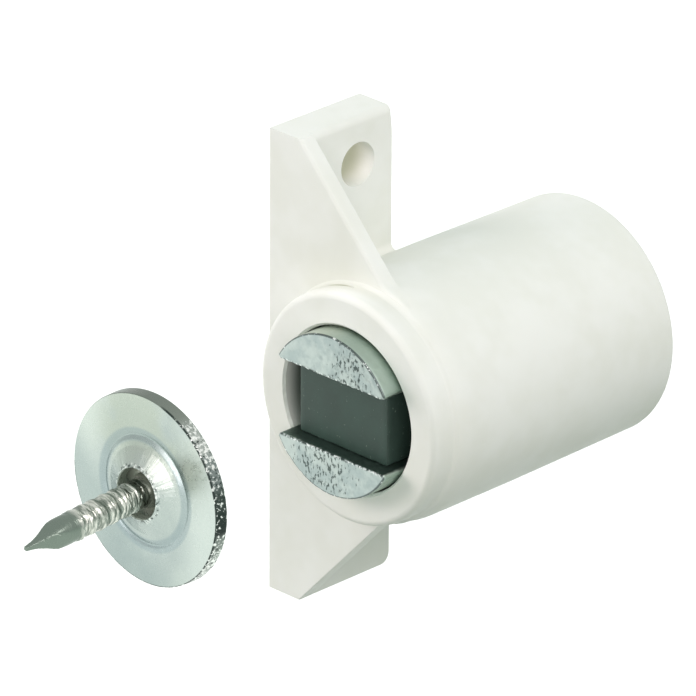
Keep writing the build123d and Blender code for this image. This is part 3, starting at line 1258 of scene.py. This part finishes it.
@dataclass
class Pole:
    """One steel pole piece, a segment of a round bar with a scuffed, pitted working face.

    worn is the middle of the scuffed patch, across and up from the barrel's axis, and
    worn_reach how far its scratches spread.
    """

    cad: str
    worn: Point
    worn_reach: float
    seed: float = 0.0
    pitch: float = 0.12 * MM
    edge: float = 0.1 * MM
    end: float = 0.3 * MM
    pit_grain: float = 0.6 * MM
    pit_depth: float = 0.06 * MM
    burr: float = 0.07 * MM

    def build(self) -> None:
        """Outline, extrude, bevel, score and pit the pole."""
        low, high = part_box(self.cad)
        side = 1 if high.z > 0 else -1
        chord, top = sorted((abs(low.z), abs(high.z)))
        centre = (low.x + high.x) / 2
        half = (high.x - low.x) / 2
        shoulder = math.acos(half / top)
        outline = [(centre, chord), (centre + half, chord)]
        outline += arc((centre, 0.0), top, shoulder, math.pi - shoulder, 72)
        outline.append((centre - half, chord))
        outline = rounded(outline, {1: self.end, len(outline) - 1: self.end})
        outline = [(x, side * z) for x, z in outline]
        obj = plate(self.cad, outline, low.y, high.y - low.y)
        edit(obj)
        pick_edges(obj, lambda e: all(abs(v.co.y - low.y) < 0.01 * MM for v in e.verts))
        bpy.ops.mesh.bevel(offset=self.edge, segments=2, affect="EDGES")
        score(obj, Vector((1, 0, 0)), between(low.x, high.x, self.pitch))
        score(obj, Vector((0, 0, 1)), between(low.z, high.z, self.pitch))
        score(obj, Vector((0, 1, 0)), [low.y + i * self.pitch * 1.5 for i in range(2, 8)])
        patch = Vector((centre + self.worn[0], low.y, self.worn[1]))

        def pit(place: Vector) -> Vector:
            """Pit and scratch the face, and wear its edges ragged.

            Args:
                place: A point of the pole.

            Returns:
                The way it moves.
            """
            front = ease(place.y, low.y + 0.4 * MM, low.y)
            worn = ease((place - patch).length, 5 * MM, 1 * MM)
            pits = ease(rough(place, self.pit_grain, self.seed), 0.5 - 0.4 * worn, 0.9)
            depth = self.pit_depth * pits + 0.006 * MM * rough(place, 0.3 * MM, self.seed + 3)
            ragged = self.burr * rough(place, 0.45 * MM, self.seed + 9)
            rim = ease(min(place.z * side - chord, 0.3 * MM), 0.3 * MM, 0.0)
            round_rim = ease(math.hypot(place.x - centre, place.z), top - 0.3 * MM, top)
            worn_rim = max(rim, 0.7 * round_rim) * front
            return Vector(
                (
                    0,
                    front * max(0.0, depth) + 0.8 * max(0.0, ragged) * worn_rim,
                    abs(ragged) * rim * front * side,
                )
            )

        worry(obj, pit)
        smooth(obj, 40)
        finish = ScuffedZinc(
            name="zinc_on_" + self.cad,
            axis=centre,
            radius=top,
            front=low.y,
            chord=chord,
            worn=tuple(patch),
            reach=self.worn_reach,
        )
        issue(obj, self.cad, Body.CATCH, finish)


@dataclass
class Magnet:
    """The ferrite block, with ground faces and crumbled edges."""

    pitch: float = 0.22 * MM
    edge: float = 0.12 * MM
    chip: float = 0.05 * MM

    def build(self) -> None:
        """Size a cube to the block, bevel and score it, and crumble its edges."""
        low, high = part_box("magnet")
        put_down()
        bpy.ops.mesh.primitive_cube_add(size=1, location=(low + high) / 2)
        obj = bpy.context.object
        obj.scale = high - low
        bpy.ops.object.transform_apply(location=True, rotation=True, scale=True)
        edit(obj, "SELECT")
        bpy.ops.mesh.bevel(offset=self.edge, segments=2, affect="EDGES")
        score(obj, Vector((1, 0, 0)), between(low.x, high.x, self.pitch))
        score(obj, Vector((0, 0, 1)), between(low.z, high.z, self.pitch))
        score(obj, Vector((0, 1, 0)), [low.y + i * self.pitch for i in range(2, 12)])
        centre = (low + high) / 2

        def crumble(place: Vector) -> Vector:
            """Chip the edges, and leave a slight unevenness elsewhere.

            Args:
                place: A point of the block.

            Returns:
                The way it moves.
            """
            worn = 0.004 * MM * rough(place, 0.5 * MM, 5)
            near = sorted(half - abs(p - c) for p, c, half in zip(place, centre, (high - low) / 2))
            edge = ease(near[1], 0.35 * MM, 0.0)
            chip = self.chip * max(0.0, rough(place, 0.6 * MM, 11)) * edge
            return (centre - place).normalized() * (abs(worn) + chip)

        worry(obj, crumble)
        smooth(obj, 40)
        issue(obj, "magnet", Body.CATCH, Ferrite())


@dataclass
class StrikePlate:
    """The pressed disc: flat rim, shallow groove, raised boss and rough-punched hole."""

    taper: float = 0.05 * MM
    thickness: float = 1.2 * MM
    edge: float = 0.06 * MM
    step_radius: float = 5.35 * MM
    step: float = 0.06 * MM
    groove_radius: float = 4.5 * MM
    groove_depth: float = 0.2 * MM
    boss_foot: float = 3.65 * MM
    boss_rise: float = 0.13 * MM
    boss_top: float = 2.2 * MM
    hole: float = 2.05 * MM
    wall: float = 0.9 * MM
    recess: float = 3.25 * MM
    recess_flare: float = 0.6 * MM
    tear: float = 0.05 * MM
    facets: int = 360

    def build(self) -> None:
        """Turn the disc, then roughen its punched hole and its sheared edge."""
        low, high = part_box("strike_plate")
        centre = Vector(((low.x + high.x) / 2, 0, (low.z + high.z) / 2))
        radius = (high.x - low.x) / 2
        face = high.y
        door = face - self.thickness
        top = low.y
        floor = top + self.wall
        corners = [
            (self.hole, floor - 0.1 * MM),
            (self.recess, floor),
            (self.recess + self.recess_flare, face),
            (radius, face),
        ]
        corners += [
            (radius - self.taper * i / 6, face - self.thickness * i / 6) for i in range(1, 6)
        ]
        rim = len(corners)
        corners += [
            (radius - self.taper, door),
            (self.step_radius, door),
            (self.step_radius - 0.3 * MM, door + self.step),
            (self.groove_radius + 0.3 * MM, door + self.step),
            (self.groove_radius, door + self.groove_depth),
            (self.groove_radius - 0.35 * MM, door),
            (self.boss_foot, door - self.boss_rise),
            (self.boss_top, top + 0.06 * MM),
            (self.hole + 0.08 * MM, top),
            (self.hole, top + 0.08 * MM),
            (self.hole, (top + floor) / 2),
        ]
        roundings = {
            1: 0.15 * MM,
            2: 0.2 * MM,
            3: 0.1 * MM,
            rim: self.edge,
            rim + 4: 0.2 * MM,
            rim + 5: 0.25 * MM,
            rim + 6: 0.3 * MM,
        }
        profile = rounded(corners, roundings, 4) + [corners[0]]
        obj = wire("strike_plate", [Vector((centre.x + r, y, centre.z)) for r, y in profile])
        bpy.ops.mesh.select_all(action="SELECT")
        bpy.ops.mesh.remove_doubles(threshold=0.001 * MM)
        bpy.ops.mesh.select_all(action="SELECT")
        bpy.ops.mesh.spin(steps=self.facets, angle=TURN, center=centre, axis=(0, 1, 0))
        bpy.ops.mesh.select_all(action="SELECT")
        bpy.ops.mesh.remove_doubles(threshold=0.001 * MM)
        bpy.ops.mesh.normals_make_consistent(inside=False)
        put_down()

        def punch(place: Vector) -> Vector:
            """Tear the sheared edge's right side, and leave a ragged lip round the hole.

            Args:
                place: A point of the disc.

            Returns:
                The way it moves.
            """
            arm = Vector((place.x - centre.x, 0, place.z - centre.z))
            angle = math.degrees(math.atan2(arm.z, arm.x))
            side = ease(arm.length, radius - 0.2 * MM, radius - 0.04 * MM)
            torn = ease(angle, 62, 50) * ease(angle, -85, -60) * side
            inward = abs(rough(place, 0.35 * MM, 7)) * self.tear * torn
            lip = ease(arm.length, self.hole + 0.3 * MM, self.hole) * ease(place.y, floor, top)
            ragged = rough(arm.normalized() * 2.0 * MM, 0.3 * MM, 3, 2) * 0.07 * MM * lip
            move = arm.normalized() * (max(0.0, ragged) - inward)
            return move + Vector((0, abs(ragged) * 0.6, 0))

        worry(obj, punch)
        smooth(obj, 40)
        middle = ((low + high) / 2).to_tuple()
        finish = PressedZinc(centre=middle, radius=radius, hole=self.hole, door=door)
        issue(obj, "strike_plate", Body.STRIKE, finish)


@dataclass
class Nail:
    """The ring-shank nail, with irregular rolled ridges and a four-sided cut point."""

    head_thickness: float = 0.7 * MM
    head_sunk: float = 0.25 * MM
    head_radius: float = 3.0 * MM
    shank: float = 1.1 * MM
    ridge: float = 0.17 * MM
    burr: float = 0.05 * MM
    ridge_pitch: float = 1.2 * MM
    ridge_start: float = 2.4 * MM
    flare: float = 0.4 * MM
    flare_start: float = 2.0 * MM
    length: float = 13.75 * MM
    point: float = 4.9 * MM
    point_turn: float = math.radians(35)
    tip: float = 0.16 * MM
    lean: float = math.radians(3.3)
    facets: int = 128
    fineness: float = 0.05 * MM

    def build(self) -> None:
        """Turn the nail, roll its ridges, cut its point and lean it in its hole."""
        low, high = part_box("strike_plate")
        face = high.y
        centre = Vector(((low.x + high.x) / 2, 0, (low.z + high.z) / 2))
        back = face - self.head_sunk
        neck = back - self.head_thickness
        tip = face - self.length
        head = [(0.0, back), (self.head_radius, back), (self.head_radius, neck), (self.shank, neck)]
        profile = rounded(head, {1: 0.1 * MM, 2: 0.1 * MM}, 3)
        steps = round((neck - tip) / self.fineness)
        for step in range(1, steps + 1):
            profile.append((self.shank, neck + (tip - neck) * step / steps))
        profile.append((0.0, tip))
        obj = lathe("strike_nail", profile, centre, self.facets)

        def roll(place: Vector) -> Vector:
            """Raise the ridges, and pinch the end to four facets.

            Args:
                place: A point of the nail.

            Returns:
                The way it moves.
            """
            arm = Vector((place.x - centre.x, 0, place.z - centre.z))
            if place.y > neck - 0.01 * MM or arm.length < 0.01 * MM:
                return Vector()
            angle = math.atan2(arm.z, arm.x)
            along = face - place.y
            around = Vector((math.cos(angle), along / self.ridge_pitch * 0.6, math.sin(angle))) * MM
            phase = (along - self.ridge_start) / self.ridge_pitch + 0.2 * rough(around, 1.5 * MM, 2)
            coarse = phase % 1.0
            fine = (phase * 3.0 + 0.5 * rough(around, 0.9 * MM, 8)) % 1.0
            lump = ease(coarse, 0.0, 0.16) * ease(coarse, 1.0, 0.3)
            line = ease(abs(fine - 0.5), 0.0, 0.22)
            patch = ease(rough(around, 0.8 * MM, 12), -0.1, 0.5)
            flake = rough(Vector((around.x, along * 1.6, around.z)), 0.6 * MM, 6, 2)
            ends = ease(along, self.ridge_start - 0.9 * MM, self.ridge_start + 0.3 * MM)
            raised = self.ridge * (0.6 * lump + 0.25 * line + 0.15 * patch)
            raised += self.burr * flake * (0.4 + lump)
            left = self.length - along
            share = min(1.0, max(0.0, left / self.point))
            raised *= (0.35 + 0.65 * ends) * ease(left, 0.8 * self.point, 1.05 * self.point)
            raised += 0.5 * self.ridge * ease(left, 1.05 * self.point, 0.8 * self.point)
            flare = self.flare * ease(along, self.flare_start, back - neck + self.head_sunk)
            target = self.shank + raised + flare
            swell = 0.75 * share + 0.25 * math.sin(math.pi * share / 2)
            swell -= 0.1 * math.sin(TURN * share)
            belly = self.tip + (self.shank + self.ridge - self.tip) * max(0.0, swell)
            facing = (angle - self.point_turn) % (math.pi / 2) - math.pi / 4
            ragged = 1.0 + 0.07 * abs(facing) * rough(Vector((angle, along, 0)), 0.3 * MM, 4, 2)
            squared = (math.cos(facing) ** 6 + abs(math.sin(facing)) ** 6) ** (1 / 6)
            cut = belly * ragged / squared
            target = (target**-10 + cut**-10) ** -0.1
            return arm.normalized() * (target - arm.length)

        worry(obj, roll)
        pivot = Vector((centre.x, (back + neck) / 2, centre.z))
        to_pivot = Matrix.Translation(pivot)
        obj.data.transform(to_pivot @ Matrix.Rotation(self.lean, 4, "X") @ to_pivot.inverted())
        smooth(obj, 40)
        finish = DrawnWire(cut=tip + self.point, root=face - self.flare_start)
        issue(obj, "strike_nail", Body.STRIKE, finish)


# ---------------------------------------------------------------------------
# The studio
# ---------------------------------------------------------------------------


@dataclass(frozen=True)
class Softbox:
    """One square lamp that faces the part.

    way is the direction from the part to it, distance how far off it hangs, side the length
    of its sides and power its watts.
    """

    name: str
    way: tuple[float, float, float]
    distance: float
    side: float
    power: float
    seen: Seen = Seen.BOTH
    colour: str = "#FFF0F4"

    def hang(self, aim: Vector) -> None:
        """Hang the lamp.

        Args:
            aim: The point that it faces.
        """
        light = bpy.data.lights.new(self.name, "AREA")
        light.shape = "SQUARE"
        light.size = self.side
        light.energy = self.power
        light.color = linear(self.colour)[:3]
        obj = bpy.data.objects.new(self.name, light)
        obj.visible_diffuse, obj.visible_glossy = self.seen.value
        bpy.context.scene.collection.objects.link(obj)
        place = aim + Vector(self.way).normalized() * self.distance
        turn = (aim - place).to_track_quat("-Z", "Y").to_matrix().to_4x4()
        obj.matrix_world = Matrix.Translation(place) @ turn


@dataclass
class Studio:
    """A pale floor, a white surround, soft lamps and the camera.

    aim is the point that the camera turns about, and aside and upward how far its view is
    shifted from there; the dim floor is the one that lights the part.
    """

    SOFTBOXES: ClassVar[tuple[Softbox, ...]] = (
        Softbox("key_softbox", (0.64, -0.08, 0.77), distance=0.32, side=0.22, power=0.47),
        Softbox(
            "left_softbox",
            (-1.3, -1.0, 0.5),
            distance=0.5,
            side=0.3,
            power=1.6,
            seen=Seen.SURFACES,
        ),
        Softbox("right_softbox", (1.1, -1.0, 0.35), distance=0.5, side=0.3, power=0.5),
        Softbox(
            "glint_strip",
            (-0.08, -1.0, 0.15),
            distance=0.5,
            side=0.25,
            power=0.6,
            seen=Seen.REFLECTIONS,
        ),
    )

    azimuth: float = math.radians(44.35)
    elevation: float = math.radians(24.51)
    roll: float = math.radians(0.3)
    distance: float = 688.5 * MM
    lens: float = 450.9
    aim: Vector = Vector((10.0 * MM, -1.4 * MM, 0.0))
    aside: float = -4.41 * MM
    upward: float = 2.40 * MM
    floor_drop: float = 45.0 * MM
    floor_size: float = 6.0
    floor_colour: str = "#CFD2CE"
    floor_glow: float = 0.7
    floor_dim: str = "#8F988E"
    sky_colour: str = "#ECFFF8"
    sky: float = 0.56

    def camera(self) -> None:
        """Place the camera at the viewing angle and make it the scene's own."""
        away = Vector(
            (
                math.sin(self.azimuth) * math.cos(self.elevation),
                -math.cos(self.azimuth) * math.cos(self.elevation),
                math.sin(self.elevation),
            )
        )
        right = Vector((math.cos(self.azimuth), math.sin(self.azimuth), 0))
        up = away.cross(right)
        place = self.aim + away * self.distance
        target = self.aim + right * self.aside + up * self.upward
        lens = bpy.data.cameras.new("camera")
        lens.sensor_width = 36.0
        lens.lens = self.lens
        lens.clip_start = 0.01
        lens.clip_end = 20.0
        camera = bpy.data.objects.new("camera", lens)
        bpy.context.scene.collection.objects.link(camera)
        turn = (target - place).to_track_quat("-Z", "Y").to_matrix().to_4x4()
        roll = Matrix.Rotation(self.roll, 4, "Z")
        camera.matrix_world = Matrix.Translation(place) @ turn @ roll
        bpy.context.scene.camera = camera

    def world(self) -> None:
        """Surround the part with soft light, and show white behind it."""
        world = bpy.data.worlds.new("studio")
        bpy.context.scene.world = world
        world.use_nodes = True
        tree = world.node_tree
        tree.nodes.clear()
        add = partial(node, tree)
        light = add("Background", {"Color": self.sky_colour, "Strength": self.sky})
        white = add("Background", {"Color": (1, 1, 1, 1), "Strength": 1.0})
        mix = add("MixShader", {0: background_rays(add), 1: light, 2: white})
        add("OutputWorld", {"Surface": mix})

    def floor(self) -> None:
        """Lay a wide pale floor below the part, which keeps its soft shadow."""
        low, _ = CAD_BOX
        put_down()
        bpy.ops.mesh.primitive_grid_add(
            x_subdivisions=8,
            y_subdivisions=8,
            size=self.floor_size,
            location=(0, 0, low[2] - self.floor_drop),
        )
        obj = bpy.context.object
        obj.name = obj.data.name = "floor"
        bpy.ops.object.transform_apply(location=True, rotation=True, scale=True)
        made = bpy.data.materials.new("studio_floor")
        made.use_nodes = True
        tree = made.node_tree
        tree.nodes.clear()
        add = partial(node, tree)
        paper = add("BsdfDiffuse", {"Color": self.floor_colour})
        glow = add("Emission", {"Color": (1, 1, 1, 1), "Strength": self.floor_glow})
        bright = add("AddShader", {0: paper, 1: glow})
        dim = add("BsdfDiffuse", {"Color": self.floor_dim})
        mix = add("MixShader", {0: background_rays(add), 1: dim, 2: bright})
        add("OutputMaterial", {"Surface": mix})
        obj.data.materials.append(made)

    def build(self) -> None:
        """Set the whole studio up."""
        bpy.context.scene.view_settings.view_transform = "Standard"
        self.camera()
        self.world()
        self.floor()
        for softbox in self.SOFTBOXES:
            softbox.hang(self.aim)


def main() -> None:
    """Build every piece, then the studio round them."""
    logging.basicConfig(level=logging.INFO, format="%(name)s: %(message)s")
    pieces = [
        Housing(),
        Pole("upper_pole", worn=(2.0 * MM, 4.5 * MM), worn_reach=3.0 * MM, seed=1.0),
        Pole("lower_pole", worn=(-0.9 * MM, -4.6 * MM), worn_reach=4.6 * MM, seed=4.0),
        Magnet(),
        StrikePlate(),
        Nail(),
    ]
    for piece in pieces:
        piece.build()
    Studio().build()


if __name__ == "__main__":
    main()
